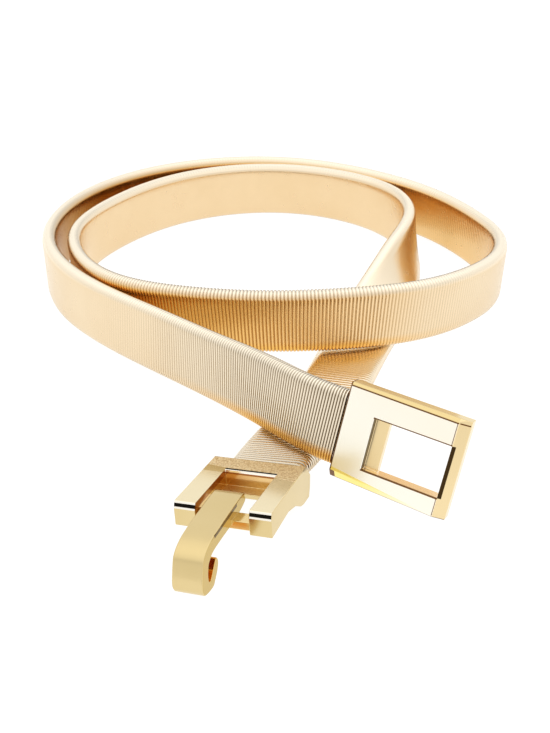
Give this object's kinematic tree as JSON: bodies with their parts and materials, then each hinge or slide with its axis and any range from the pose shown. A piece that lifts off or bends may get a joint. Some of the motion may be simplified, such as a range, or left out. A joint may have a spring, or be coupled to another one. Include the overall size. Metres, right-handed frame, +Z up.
{
  "type": "elastic stretch belt",
  "caption": "Gold metal stretch belt lying in two turns: a flat coil-spring band with a framed square buckle on one end and a hooked buckle on the other.",
  "frame": {"origin": "centre of the belt's box as it lies, on the table it rests on", "axes": "+Z up from the table, +Y from the buckles to the far side of the waist loop, +X to the right as seen from the buckles"},
  "size_m": [0.1543, 0.2169, 0.0285],
  "materials": {
    "gold_wire": "fine flat wire wound in close ribs, satin, pale gold",
    "polished_gold": "mirror polished pale gold plate",
    "cast_gold": "polished gold plate, with a finely stippled crossbar"
  },
  "bodies": {
    "root": {"stretch_band": "gold_wire", "frame_buckle": "polished_gold", "hook_buckle": "cast_gold"}
  },
  "joints": []
}
